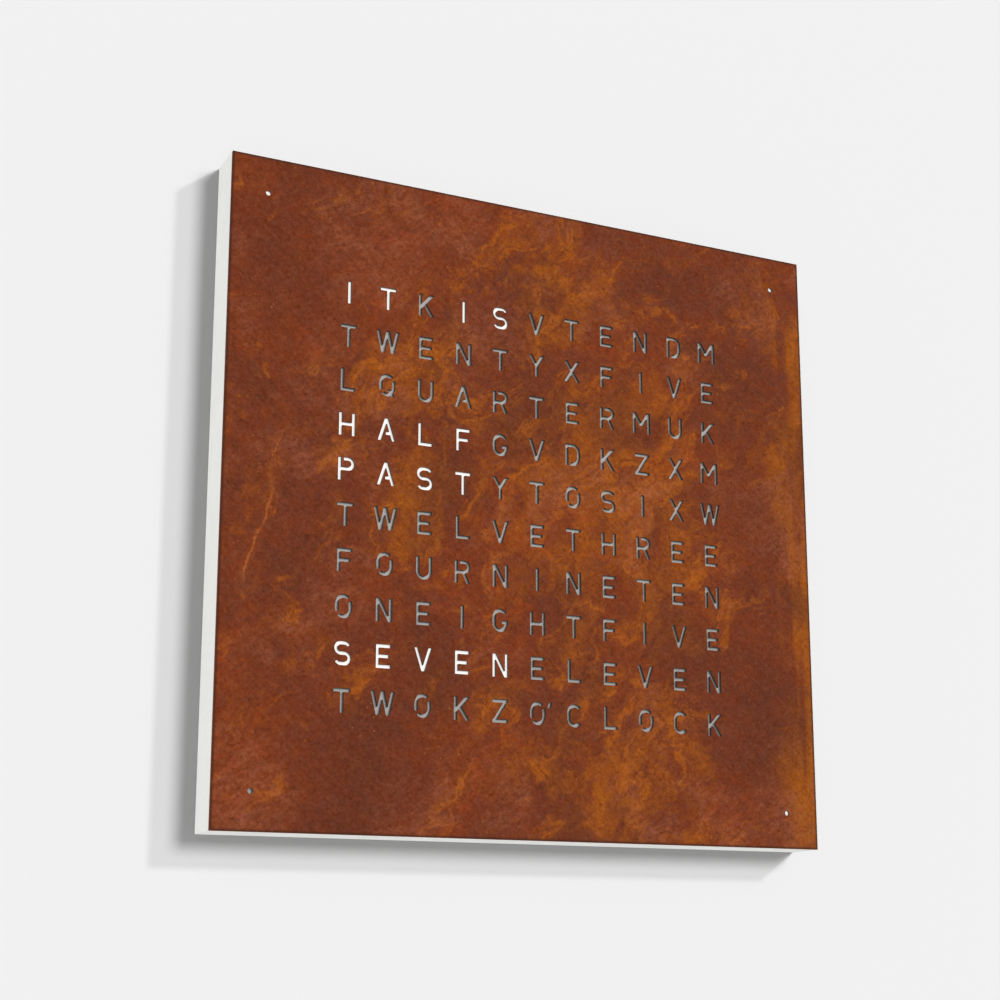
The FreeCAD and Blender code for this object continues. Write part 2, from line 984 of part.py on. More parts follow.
def cell_holder():
    x, z = cell_place()
    front = control_front - holder_thickness
    cup = block(x, z, holder_size, holder_size, front, control_front)
    floor = control_front - (holder_thickness - cell_thickness) / 2
    room = 2 * (cell_radius + peg_clearance)
    return cup.cut(block(x, z, room, room, front - overshoot, floor))


def smoothing_capacitor():
    x, z = control_spot(chip_column, lower_row)
    foot = block(x, z, capacitor_base, capacitor_base, control_front - capacitor_base_height,
                 control_front)
    can = small_round(x, z, capacitor_radius, capacitor_radius,
                      control_front - capacitor_height, control_front - capacitor_base_height)
    return union([foot, can])


def socket_split():
    """Where the two halves of the board-to-board connector meet."""
    return control_front + (lamp_board_back - control_front) * socket_share


def board_connector(front, back):
    x, z = control_spot(0, lower_row)
    return block(x, z, socket_length, socket_width, front, back)


def inlet_place():
    """The middle of the inlet's opening and the height of its mouth, at the top of the bay."""
    return -bay_depth / 2, bay_centre_z + bay_height / 2


def dc_inlet_housing():
    y, mouth = inlet_place()
    body = top_box(mouth, mouth + inlet_length, 0, y - (bay_depth - inlet_width) / 2,
                   inlet_width, inlet_width)
    bore = Part.makeCylinder(inlet_bore_radius, inlet_bore_depth, Vector(0, y, mouth))
    return body.cut(bore)


def dc_inlet_pin():
    """The contact pin, standing on the floor of the inlet's bore."""
    y, mouth = inlet_place()
    tip = mouth + inlet_bore_depth - inlet_pin_length
    return Part.makeCylinder(inlet_pin_radius, inlet_pin_length, Vector(0, y, tip))


def key_board():
    back = panel_front - key_board_lift
    return block(key_board_x + board_thickness / 2, button_centre_z, board_thickness,
                 key_board_length, back - key_board_height, back)


def nub_end():
    """Where a switch's nub stops, on the way to its button."""
    return key_board_x + board_thickness + switch_thickness + nub_height


def key_switches():
    base = key_board_x + board_thickness
    switches = []
    for z in button_spots():
        body = side_box(base, base + switch_thickness, button_centre_y, z, switch_size, switch_size)
        nub = side_box(base, nub_end(), button_centre_y, z, nub_size, nub_size)
        switches.append(union([body, nub]))
    return group(switches)


def button(z):
    """A sprung key: its cap stands in the side wall and its stem reaches the switch."""
    outer = half_face + button_proud
    flange_outer = inner_half - button_clearance
    flange_inner = flange_outer - button_flange
    stem_end = nub_end() + button_travel + button_slack
    cap_block = side_box(flange_outer, outer, button_centre_y, z, button_width, button_length)
    flange = side_box(flange_inner, flange_outer, button_centre_y, z,
                      button_width + 2 * button_lip, button_length + 2 * button_lip)
    stem = side_box(stem_end, flange_inner, button_centre_y, z, button_stem, button_stem)
    return union([cap_block, flange, stem])


def light_sensor_window():
    """A clear light guide, flush with the top of the case."""
    flange_top = inner_half
    flange_low = flange_top - window_flange
    pane = top_box(flange_top, half_face, sensor_x, sensor_centre_y, window_size, window_size)
    flange = top_box(flange_low, flange_top, sensor_x, sensor_centre_y,
                     window_size + 2 * window_lip, window_size + 2 * window_lip)
    guide = top_box(flange_low - window_length, flange_low, sensor_x, sensor_centre_y,
                    window_size, window_size)
    return union([pane, flange, guide])


def light_sensor_board():
    top = sensor_board_z()
    back = panel_front - key_board_lift
    return block(sensor_x, top - board_thickness / 2, sensor_board_width, board_thickness,
                 back - sensor_board_height, back)


def light_sensor_chip():
    low = sensor_board_z()
    return top_box(low, low + sensor_thickness, sensor_x, sensor_centre_y,
                   sensor_size, sensor_size)


def key_lead():
    """Flat lead on the panel from the key board to the control board."""
    x0 = control_centre_x + control_width / 2
    x1 = key_board_x
    z = button_centre_z
    strip = block((x0 + x1) / 2, z, x1 - x0, lead_width, panel_front - lead_thickness, panel_front)
    rise_left = block(x0 + lead_thickness / 2, z, lead_thickness, lead_width,
                      control_front, panel_front)
    rise_right = block(x1 - lead_thickness / 2, z, lead_thickness, lead_width,
                       panel_front - key_board_lift - lead_rise, panel_front)
    return union([strip, rise_left, rise_right])


def sensor_lead():
    """Flat lead on the panel from the sensor board to the control board."""
    z0 = control_centre_z + control_height / 2
    z1 = sensor_board_z() - board_thickness
    strip = block(sensor_x, (z0 + z1) / 2, lead_width, z1 - z0,
                  panel_front - lead_thickness, panel_front)
    rise_low = block(sensor_x, z0 + lead_thickness / 2, lead_width, lead_thickness,
                     control_front, panel_front)
    rise_high = block(sensor_x, z1 - lead_thickness / 2, lead_width, lead_thickness,
                      panel_front - key_board_lift - lead_rise, panel_front)
    return union([strip, rise_low, rise_high])


def power_lead():
    """Flat lead on the panel from the power inlet's bay to the control board."""
    x0 = bay_width / 2 + pocket_wall
    x1 = control_centre_x - control_width / 2
    z = bay_centre_z
    strip = block((x0 + x1) / 2, z, x1 - x0, lead_width, panel_front - lead_thickness, panel_front)
    rise_left = block(x0 + lead_thickness / 2, z, lead_thickness, lead_width,
                      control_front, panel_front)
    rise_right = block(x1 - lead_thickness / 2, z, lead_thickness, lead_width,
                       control_front, panel_front)
    return union([strip, rise_left, rise_right])


def build():
    """Every piece under its own name."""
    buttons = dict(zip(("button_mode", "button_plus", "button_minus"), button_spots()))
    split = socket_split()
    pieces = {
        "face_plate": face_plate(),
        "letter_diffuser": letter_diffuser(),
        "locating_tabs": locating_tabs(),
        "case_frame": case_frame(),
        "face_magnets": face_magnets(),
        "back_panel": back_panel(),
        "back_panel_screws": back_panel_screws(),
        "hanger_left": hanger(-hanger_spacing / 2),
        "hanger_right": hanger(hanger_spacing / 2),
        "hanger_screws": hanger_screws(),
        "light_grid": light_grid(),
        "led_board_upper": lamp_board(1),
        "led_board_lower": lamp_board(-1),
        "letter_leds": letter_lamps(),
        "minute_leds": minute_lamps(),
        "minute_tubes": minute_tubes(),
        "board_link": board_link(),
        "control_board": control_board(),
        "control_chip": control_chip(),
        "driver_chips": driver_chips(),
        "quartz_crystal": quartz_crystal(),
        "backup_cell": backup_cell(),
        "cell_holder": cell_holder(),
        "smoothing_capacitor": smoothing_capacitor(),
        "board_socket": board_connector(split, control_front),
        "board_header": board_connector(lamp_board_back, split),
        "dc_inlet_housing": dc_inlet_housing(),
        "dc_inlet_pin": dc_inlet_pin(),
        "key_board": key_board(),
        "key_switches": key_switches(),
        "light_sensor_window": light_sensor_window(),
        "light_sensor_board": light_sensor_board(),
        "light_sensor_chip": light_sensor_chip(),
        "key_lead": key_lead(),
        "sensor_lead": sensor_lead(),
        "power_lead": power_lead(),
    }
    for name, z in buttons.items():
        pieces[name] = button(z)
    return pieces


os.makedirs("parts", exist_ok=True)
for node, shape in build().items():
    shape.exportStep("parts/" + node + ".step")
    print(node, len(shape.Solids), round(shape.Volume, 1), shape.isValid())
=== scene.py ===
# %% [markdown]
# A word clock in rusted steel
#
# The clock is a square steel sheet with letters cut right through it, on a shallow white case.
# Its solids are already modelled and stay where they are. This lesson gives every piece its finish,
# adds the pieces that need a finer mesh, and lights them as the photograph does.

import math

import bmesh
import bpy
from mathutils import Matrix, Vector


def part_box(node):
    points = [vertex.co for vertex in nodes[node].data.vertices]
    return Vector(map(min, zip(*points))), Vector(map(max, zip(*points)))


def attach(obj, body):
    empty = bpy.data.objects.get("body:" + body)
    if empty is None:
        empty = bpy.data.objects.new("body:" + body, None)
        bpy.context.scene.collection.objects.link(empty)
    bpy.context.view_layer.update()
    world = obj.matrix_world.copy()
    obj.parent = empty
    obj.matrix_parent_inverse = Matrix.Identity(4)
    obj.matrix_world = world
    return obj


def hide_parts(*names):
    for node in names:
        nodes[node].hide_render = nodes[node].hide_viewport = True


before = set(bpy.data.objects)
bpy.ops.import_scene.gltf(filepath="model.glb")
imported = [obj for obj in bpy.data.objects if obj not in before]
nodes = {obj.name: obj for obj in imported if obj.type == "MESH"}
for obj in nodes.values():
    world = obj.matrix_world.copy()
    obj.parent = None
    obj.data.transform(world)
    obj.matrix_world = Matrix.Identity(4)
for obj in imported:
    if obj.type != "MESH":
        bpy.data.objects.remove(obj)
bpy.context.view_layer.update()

# %% [markdown]
# Everything is measured from the solids, so the sizes below are read and not typed. The lamps sit
# behind the letters at the same pitch, which gives the letter grid from the box that holds them.

# %% Read the face, the case and the letter grid
MM = 0.001
COLUMNS = 11
ROWS = 10
LAMP_SIZE = 5 * MM

face_low, face_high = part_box("face_plate")
lamps_low, lamps_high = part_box("letter_leds")
half_face = face_high.x
front_y = face_low.y
plate_back_y = face_high.y
case_back_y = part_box("case_frame")[1].y
column_pitch = (lamps_high.x - lamps_low.x - LAMP_SIZE) / (COLUMNS - 1)
row_pitch = (lamps_high.z - lamps_low.z - LAMP_SIZE) / (ROWS - 1)
print("face", round(2 * half_face / MM), "mm, letters every", round(column_pitch / MM, 2),
      "by", round(row_pitch / MM, 2), "mm")

# %% [markdown]
# A camera is a place, a direction and a lens. The photograph was taken from low on the left, looking
# up, and it was cropped afterwards, so the lens axis isn't in the middle of the frame. The shift
# gives that crop back. Aiming by three axes keeps the slight roll of the real camera.

# %% The camera
CAMERA_PLACE = Vector((-0.5468, -1.1386, -0.3181))
CAMERA_AIM = Vector((0.4479, 0.8673, 0.2174))
CAMERA_UP = Vector((-0.0932, -0.1965, 0.9761))
LENS_MM = 66.05
SENSOR_MM = 36
SHIFT = (-0.0694, 0.0748)


def make_camera():
    """A camera whose three axes come from the way it looks and the way it holds up."""
    data = bpy.data.cameras.new("camera")
    data.lens = LENS_MM
    data.sensor_width = SENSOR_MM
    data.shift_x, data.shift_y = SHIFT
    camera = bpy.data.objects.new("camera", data)
    bpy.context.collection.objects.link(camera)
    back = -CAMERA_AIM.normalized()
    right = CAMERA_UP.cross(back).normalized()
    up = back.cross(right)
    for row in range(3):
        camera.matrix_world[row][:] = (right[row], up[row], back[row], CAMERA_PLACE[row])
    bpy.context.scene.camera = camera
    return camera


camera = make_camera()
print("camera looks along", [round(value, 3) for value in CAMERA_AIM])

# %% [markdown]
# Finishes are built from nodes, because a pattern worked out from the place of a point has no seams
# and no blurred pixels. The same few moves come back in every finish: noise, a ramp of colours and a
# mix by a mask. A small class keeps them short. It reads the place from the object, so a pattern
# stays on its piece when the piece moves.

# %% A small kit for finishes


def paint(red, green, blue):
    """A colour as it looks on a screen, from 0 to 255, in the linear light that Blender uses."""
    def linear(value):
        share = value / 255
        return share / 12.92 if share <= 0.04045 else ((share + 0.055) / 1.055) ** 2.4
    return (linear(red), linear(green), linear(blue), 1.0)


class Finish:
    """A material in the making: each call adds one node and gives back what comes out of it."""

    def __init__(self, name, rough=0.5, metal=0.0, shine=0.5):
        self.material = bpy.data.materials.new(name)
        self.material.use_nodes = True
        self.tree = self.material.node_tree
        self.shader = self.tree.nodes["Principled BSDF"]
        self.shader.inputs["Roughness"].default_value = rough
        self.shader.inputs["Metallic"].default_value = metal
        self.shader.inputs["Specular IOR Level"].default_value = shine
        coordinates = self.tree.nodes.new("ShaderNodeTexCoord")
        self.place = coordinates.outputs["Object"]
        self.facing = coordinates.outputs["Normal"]

    def put(self, socket, value):
        """Links what another node gives, or sets a plain value."""
        if isinstance(value, bpy.types.NodeSocket):
            self.tree.links.new(value, socket)
        else:
            socket.default_value = value

    def calc(self, kind, first, second=0.0):
        """One sum on numbers."""
        node = self.tree.nodes.new("ShaderNodeMath")
        node.operation = kind
        self.put(node.inputs[0], first)
        self.put(node.inputs[1], second)
        return node.outputs[0]

    def times(self, first, second):
        return self.calc("MULTIPLY", first, second)

    def plus(self, first, second):
        return self.calc("ADD", first, second)

    def shift(self, kind, first, second):
        """One sum on places: SCALE takes a number, and DISTANCE and LENGTH give one."""
        node = self.tree.nodes.new("ShaderNodeVectorMath")
        node.operation = kind
        self.put(node.inputs[0], first)
        self.put(node.inputs[3 if kind == "SCALE" else 1], second)
        return node.outputs["Value" if kind in ("DISTANCE", "LENGTH") else "Vector"]

    def axes(self, vector):
        """The three numbers of a place."""
        node = self.tree.nodes.new("ShaderNodeSeparateXYZ")
        self.put(node.inputs[0], vector)
        return node.outputs[0], node.outputs[1], node.outputs[2]

    def point(self, x, y, z):
        """A place from three numbers."""
        node = self.tree.nodes.new("ShaderNodeCombineXYZ")
        for socket, value in zip(node.inputs, (x, y, z)):
            self.put(socket, value)
        return node.outputs[0]

    def turned(self, vector, angle, stretch):
        """A place turned about Y and then stretched, for patterns that run one way."""
        node = self.tree.nodes.new("ShaderNodeVectorRotate")
        node.rotation_type = "Y_AXIS"
        node.inputs["Angle"].default_value = math.radians(angle)
        self.put(node.inputs["Vector"], vector)
        return self.shift("MULTIPLY", node.outputs[0], stretch)

    def noise(self, scale, detail=4, rough=0.55, twist=0.0, at=None, colour=False):
        """Clouds from 0 to 1: a high scale is fine, and more detail adds finer clouds inside."""
        node = self.tree.nodes.new("ShaderNodeTexNoise")
        node.inputs["Scale"].default_value = scale
        node.inputs["Detail"].default_value = detail
        node.inputs["Roughness"].default_value = rough
        node.inputs["Distortion"].default_value = twist
        self.put(node.inputs["Vector"], at if at is not None else self.place)
        return node.outputs["Color" if colour else "Fac"]

    def cells(self, scale):
        """How far a point is from the nearest of many scattered dots."""
        node = self.tree.nodes.new("ShaderNodeTexVoronoi")
        node.inputs["Scale"].default_value = scale
        self.put(node.inputs["Vector"], self.place)
        return node.outputs["Distance"]

    def step(self, value, low, high, out_low=0.0, out_high=1.0, linear=False):
        """A rise from one level to another as the value passes from low to high."""
        node = self.tree.nodes.new("ShaderNodeMapRange")
        node.interpolation_type = "LINEAR" if linear else "SMOOTHSTEP"
        for name, amount in (("From Min", low), ("From Max", high),
                             ("To Min", out_low), ("To Max", out_high)):
            node.inputs[name].default_value = amount
        self.put(node.inputs["Value"], value)
        return node.outputs[0]

    def curve(self, value, points):
        """A smooth curve through a few points, both ways from 0 to 1."""
        node = self.tree.nodes.new("ShaderNodeFloatCurve")
        line = node.mapping.curves[0]
        while len(line.points) < len(points):
            line.points.new(0.5, 0.5)
        for knot, place in zip(line.points, points):
            knot.location = place
        node.mapping.update()
        self.put(node.inputs["Value"], value)
        return node.outputs[0]

    def ramp(self, value, stops):
        """Colours along a value: a list of (where, colour)."""
        node = self.tree.nodes.new("ShaderNodeValToRGB")
        band = node.color_ramp
        while len(band.elements) < len(stops):
            band.elements.new(1.0)
        for element, (where, colour) in zip(band.elements, stops):
            element.position = where
            element.color = colour
        self.put(node.inputs[0], value)
        return node.outputs[0]

    def mix(self, mask, first, second, kind="MIX"):
        """Goes from the first colour to the second as the mask goes from 0 to 1."""
        node = self.tree.nodes.new("ShaderNodeMix")
        node.data_type = "RGBA"
        node.blend_type = kind
        self.put(node.inputs[0], mask)
        self.put(node.inputs[6], first)
        self.put(node.inputs[7], second)
        return node.outputs[2]

    def over(self, skin, mask, strength, tone):
        """Lays a tone over a skin where a mask allows it."""
        return self.mix(self.times(mask, strength), skin, tone)

    def colour(self, value):
        self.put(self.shader.inputs["Base Color"], value)

    def rough(self, value):
        self.put(self.shader.inputs["Roughness"], value)

    def relief(self, height, depth, strength=1.0):
        """Raises the surface by a pattern, depth in metres."""
        node = self.tree.nodes.new("ShaderNodeBump")
        node.inputs["Strength"].default_value = strength
        node.inputs["Distance"].default_value = depth
        self.put(node.inputs["Height"], height)
        self.put(self.shader.inputs["Normal"], node.outputs[0])
        return node


def dress(finish, *names):
    """Gives a finish to solids by their names."""
    for name in names:
        slots = nodes[name].data.materials
        slots.clear()
        slots.append(finish.material)
    print(finish.material.name, "on", ", ".join(names))


# %% [markdown]
# The face is steel that was left to rust and then sealed. Close up it is never one brown: broad
# clouds of dark red-brown, wisps of ochre where water ran, a fine sandy grain, and a paler edge
# where a puddle once dried. Each of these is one pattern at its own scale. They are laid over each
# other one by one, from the broadest to the finest, and each mask has soft edges, so that the
# colours go over into each other as rust does.

# %% The rusted steel
RED_BROWN = [(0.36, paint(88, 43, 35)), (0.46, paint(104, 51, 37)), (0.55, paint(112, 52, 32)),
             (0.66, paint(124, 62, 38))]
OCHRE = [(0.35, paint(130, 66, 24)), (0.57, paint(150, 84, 22)), (0.72, paint(172, 106, 36))]
GRAIN_LIGHT = [(0.30, (1.03, 0.82, 0.46, 1)), (0.50, (1.22, 1.08, 0.76, 1)),
               (0.72, (1.42, 1.40, 1.22, 1))]
FIBRE_LIGHT = [(0.34, (0.82, 0.76, 0.66, 1)), (0.66, (1.06, 1.08, 1.04, 1))]

# Round regions of the face: across, up, where each ends, where it is full, and its strength.
OCHRE_REGIONS = [
    (0.06, 0.02, 0.17, 0.02, 1.0), (0.06, -0.19, 0.13, 0.01, 0.85), (0.02, 0.17, 0.09, 0.0, 0.85),
    (-0.09, 0.09, 0.07, 0.01, 0.85), (-0.11, 0.0, 0.06, 0.0, 0.85),
]
DARK_REGIONS = [
    (0.18, -0.13, 0.07, 0.01, 1.0), (0.17, 0.02, 0.07, 0.0, 1.0), (-0.19, 0.15, 0.07, 0.0, 1.0),
    (-0.13, -0.19, 0.07, 0.0, 1.0),
]

# The dried puddle's rim: its two ends in height, its leftmost place, and how far it wanders.
TIDE_LOW = -0.084
TIDE_HIGH = 0.040
TIDE_LEFT = -0.209
TIDE_WIDTH = 0.038
TIDE_SHAPE = [(0.0, 0.12), (0.12, 0.0), (0.36, 0.20), (0.62, 0.46), (0.84, 0.50), (1.0, 1.0)]
TIDE_RAGGED = 7 * MM


class RustedSteel(Finish):
    """Rust as a pile of patterns: each step takes the skin so far and lays one more over it."""

    def __init__(self):
        super().__init__("rusted_steel", rough=0.8, shine=0.08)
        self.curled = self.warped(0.075, 13)
        self.leaning = self.turned(self.curled, 48, (1.0, 1.0, 1.9))
        self.clouds = self.noise(9, 6, 0.6, 0.3)
        self.patches = self.noise(24, 12, 0.74, 0.2, at=self.leaning)
        self.mottle = self.noise(95, 8, 0.72, 0.3)
        self.grain = self.noise(520, 3, 0.65)
        self.hairs = self.noise(300, 4, 0.7, at=self.turned(self.place, 28, (0.5, 1.0, 1.2)))
        self.x, _, self.z = self.axes(self.place)

        x, _, z = self.axes(self.warped(0.10, 12))
        spot = self.point(x, 0.0, z)
        self.ochre_places = self.regions(spot, OCHRE_REGIONS)
        self.dark_places = self.regions(spot, DARK_REGIONS)
        self.right_band = self.times(self.step(x, 0.188, 0.212), self.step(z, 0.205, 0.165))

    def warped(self, amount, scale):
        """The place of a point, pushed about by a soft noise so that patterns curl."""
        push = self.shift("SUBTRACT", self.noise(scale, 3, 0.55, colour=True), (0.5, 0.5, 0.5))
        return self.shift("ADD", self.place, self.shift("SCALE", push, amount))

    def veins(self, at, scale, width):
        """Thin branching lines: the places where a noise passes through its middle value."""
        away = self.calc("ABSOLUTE", self.calc("SUBTRACT", self.noise(scale, 6, 0.6, at=at), 0.5))
        return self.step(away, width, 0.0)

    def regions(self, spot, places):
        """Soft round regions as one mask, the strongest winning where they meet."""
        whole = 0.0
        for x, z, end, full, strength in places:
            region = self.step(self.shift("DISTANCE", spot, (x, 0.0, z)), end, full)
            whole = self.calc("MAXIMUM", whole, self.times(region, strength))
        return whole

    def clouded(self):
        """The ground: red-brown clouds with a fine mottle inside them."""
        tone = self.plus(self.times(self.clouds, 0.5), self.times(self.mottle, 0.5))
        return self.ramp(tone, RED_BROWN)

    def with_wisps(self, skin):
        """Ochre wisps that gather in their places, with bright veins in them and red ones between."""
        level = self.plus(self.patches, self.times(self.ochre_places, 0.16))
        level = self.calc("SUBTRACT", level, self.times(self.dark_places, 0.10))
        skin = self.over(skin, self.step(level, 0.49, 0.72), 0.72, self.ramp(self.mottle, OCHRE))
        bright = self.times(self.veins(self.leaning, 11, 0.03), self.step(level, 0.48, 0.62))
        skin = self.over(skin, bright, 0.5, paint(168, 94, 24))
        red = self.times(self.veins(self.curled, 20, 0.03), self.step(self.clouds, 0.48, 0.6))
        return self.over(skin, red, 0.35, paint(140, 58, 24))

    def with_right_band(self, skin):
        """Ochre runs down the right edge, in upright streaks."""
        streaks = self.noise(70, 5, 0.6, at=self.turned(self.place, 0, (1.0, 1.0, 0.12)))
        runs = self.times(self.right_band, self.step(streaks, 0.32, 0.54))
        return self.over(skin, runs, 0.9, paint(150, 84, 22))

    def with_rose_dust(self, skin):
        """Broad pale breaths of rose dust, combed by fine fibres."""
        broad = self.step(self.noise(15, 6, 0.65, at=self.curled), 0.50, 0.64)
        combed = self.times(broad, self.step(self.hairs, 0.34, 0.66, 0.10, 0.50))
        return self.mix(combed, skin, paint(142, 84, 70))

    def with_stains(self, skin):
        """Dark stains here and there, and in the dark places."""
        scattered = self.step(self.noise(17, 5, 0.6, at=self.curled), 0.50, 0.36)
        stain = self.calc("MAXIMUM", self.times(scattered, 0.5), self.times(self.dark_places, 0.45))
        return self.mix(stain, skin, paint(88, 46, 36))

    def with_tide_line(self, skin):
        """The pale broken rim of a dried puddle, low on the left, with a faint halo about it."""
        along = self.step(self.z, TIDE_LOW, TIDE_HIGH, linear=True)
        rim_x = self.plus(self.times(self.curve(along, TIDE_SHAPE), TIDE_WIDTH), TIDE_LEFT)
        ragged = self.times(self.calc("SUBTRACT", self.noise(120, 5, 0.65), 0.5), TIDE_RAGGED)
        gap = self.calc("ABSOLUTE", self.plus(self.calc("SUBTRACT", self.x, rim_x), ragged))
        ends = self.times(self.step(self.z, TIDE_LOW, TIDE_LOW + 10 * MM),
                          self.step(self.z, TIDE_HIGH, TIDE_HIGH - 20 * MM))
        halo = self.times(self.step(gap, 9 * MM, 0.0), ends)
        skin = self.over(skin, halo, 0.16, paint(150, 84, 48))
        broken = self.step(self.noise(75, 3), 0.40, 0.56)
        line = self.times(self.times(self.step(gap, 1.3 * MM, 0.2 * MM), ends), broken)
        return self.over(skin, line, 0.55, paint(176, 100, 58))

    def with_specks(self, skin):
        """Pale specks in a few groups, dark pits, and a thin dust over all."""
        specks = self.times(self.step(self.cells(230), 0.16, 0.05),
                            self.step(self.noise(24, 3), 0.57, 0.66))
        skin = self.over(skin, specks, 0.6, paint(178, 128, 88))
        pits = self.step(self.noise(260, 4, 0.7), 0.42, 0.32)
        skin = self.over(skin, pits, 0.35, paint(70, 36, 26))
        dust = self.step(self.noise(330, 6, 0.8), 0.42, 0.74)
        return self.over(skin, dust, 0.20, paint(128, 86, 66))

    def with_grain(self, skin):
        """A sandy grain and crossing fibres that make the skin lighter and darker."""
        skin = self.mix(1.0, skin, self.ramp(self.grain, GRAIN_LIGHT), "MULTIPLY")
        threads = self.noise(330, 2, 0.6, at=self.turned(self.place, -42, (0.2, 1.0, 1.5)))
        weave = self.plus(self.times(threads, 0.5), self.times(self.hairs, 0.5))
        return self.mix(1.0, skin, self.ramp(weave, FIBRE_LIGHT), "MULTIPLY")

    def with_edges(self, skin):
        """A dark rim, brown outer edges, and the barer steel inside the cut letters."""
        reach = self.calc("MAXIMUM", self.calc("ABSOLUTE", self.x), self.calc("ABSOLUTE", self.z))
        rim = self.step(reach, half_face - 2.2 * MM, half_face - 0.5 * MM)
        skin = self.over(skin, rim, 0.75, paint(66, 36, 24))
        _, out, _ = self.axes(self.facing)
        cut = self.step(self.calc("ABSOLUTE", out), 0.7, 0.4)
        outside = self.step(reach, half_face - 8 * MM, half_face - 6 * MM)
        return self.mix(cut, skin, self.mix(outside, paint(124, 112, 104), paint(92, 50, 30)))

    def finished(self):
        """Lays every step in turn, then makes the skin matt and slightly rough to the touch."""
        skin = self.clouded()
        for lay in (self.with_wisps, self.with_right_band, self.with_rose_dust, self.with_stains,
                    self.with_tide_line, self.with_specks, self.with_grain, self.with_edges):
            skin = lay(skin)
        self.colour(skin)
        self.rough(self.step(self.mottle, 0.3, 0.7, 0.68, 0.9))
        height = self.plus(self.times(self.patches, 0.6), self.times(self.mottle, 0.5))
        self.relief(self.plus(height, self.times(self.grain, 0.3)), 0.5 * MM, 0.5)
        return self


rust = RustedSteel().finished()
dress(rust, "face_plate")
print("nodes in the rust:", len(rust.tree.nodes))

# %% [markdown]
# The letters are cut with a laser, so their bows are smooth. The solid keeps them in a few flats
# to stay light. The outlines are read from the solid's front, and wherever equal short flats
# follow each other they lie on one circle, which gives back the true arc. Filling between the rim
# and the holes then makes the sheet again, with every straight edge where it was.

# %% The sheet with smooth letters
ARC_STEPS = 7
LONGEST_FLAT = 5 * MM
LEAST_TURN = math.radians(15)
MOST_TURN = math.radians(50)
ALIKE = 0.03


def front_outlines(node):
    """The closed outlines of a plate's front, rim and holes, as points across and up.

    The edges keep the order of the mesh, so that every run reads the outlines alike.
    """
    mesh = bmesh.new()
    mesh.from_mesh(nodes[node].data)
    bmesh.ops.remove_doubles(mesh, verts=mesh.verts, dist=0.001 * MM)
    left = dict.fromkeys(edge for edge in mesh.edges
                         if sum(face.normal.y < -0.9 for face in edge.link_faces) == 1)
    outlines = []
    while left:
        first, here = left.popitem()[0].verts
        loop = [first]
        while here is not first:
            loop.append(here)
            edge = next(edge for edge in here.link_edges if edge in left)
            del left[edge]
            here = edge.other_vert(here)
        outlines.append([Vector((vert.co.x, vert.co.z)) for vert in loop])
    mesh.free()
    return outlines


def swing(x, z, turn):
    """A point turned about the origin."""
    return x * math.cos(turn) - z * math.sin(turn), x * math.sin(turn) + z * math.cos(turn)


def turn_between(one, other):
    """How far the second direction is turned from the first, left turns counted up."""
    return math.atan2(one.x * other.y - one.y * other.x, one.dot(other))


def circle_centre(first, middle, last):
    """The middle of the circle through three points."""
    a, b = middle - first, last - first
    scale = 2 * (a.x * b.y - a.y * b.x)
    return first + Vector((b.y * a.dot(a) - a.y * b.dot(b), a.x * b.dot(b) - b.x * a.dot(a))) / scale


def with_arcs(points):
    """The same outline with every run of equal short flats drawn as an arc."""
    count = len(points)

    def on_arc(spot):
        before = points[spot] - points[spot - 1]
        after = points[(spot + 1) % count] - points[spot]
        alike = abs(before.length - after.length) < ALIKE * after.length
        turn = abs(turn_between(before, after))
        return alike and after.length < LONGEST_FLAT and LEAST_TURN < turn < MOST_TURN

    drawn = []
    for spot in range(count):
        after = (spot + 1) % count
        drawn.append(points[spot])
        if on_arc(spot):
            centre = circle_centre(points[spot - 1], points[spot], points[after])
        elif on_arc(after):
            centre = circle_centre(points[spot], points[after], points[(after + 1) % count])
        else:
            continue
        arm = points[spot] - centre
        sweep = turn_between(arm, points[after] - centre)
        for step in range(1, ARC_STEPS):
            drawn.append(centre + Vector(swing(arm.x, arm.y, sweep * step / ARC_STEPS)))
    return drawn


def as_mesh(thing):
    """The mesh of an object once its modifiers or its curves are worked out."""
    graph = bpy.context.evaluated_depsgraph_get()
    return bpy.data.meshes.new_from_object(thing.evaluated_get(graph))


def sheet_from_outlines(name, outlines, front, back):
    """A flat sheet filled between its rim and its holes, standing upright."""
    drawing = bpy.data.curves.new(name, "CURVE")
    drawing.dimensions = "2D"
    drawing.fill_mode = "BOTH"
    drawing.extrude = (back - front) / 2
    for outline in outlines:
        spline = drawing.splines.new("POLY")
        spline.points.add(len(outline) - 1)
        for point, spot in zip(spline.points, outline):
            point.co = (spot.x, spot.y, 0, 1)
        spline.use_cyclic_u = True
    drawn = bpy.data.objects.new(name, drawing)
    bpy.context.collection.objects.link(drawn)
    solid = as_mesh(drawn)
    bpy.data.objects.remove(drawn)
    middle = (front + back) / 2
    for vert in solid.vertices:
        x, z, depth = vert.co
        vert.co = (x, middle - depth, z)
    made = bpy.data.objects.new(name, solid)
    bpy.context.collection.objects.link(made)
    return made


outlines = [with_arcs(outline) for outline in front_outlines("face_plate")]
face_sheet = sheet_from_outlines("face_sheet", outlines, front_y, plate_back_y)
face_sheet.data.materials.clear()
face_sheet.data.materials.append(rust.material)
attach(face_sheet, "face")
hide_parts("face_plate")
print("outlines:", len(outlines), "points:", sum(len(outline) for outline in outlines))
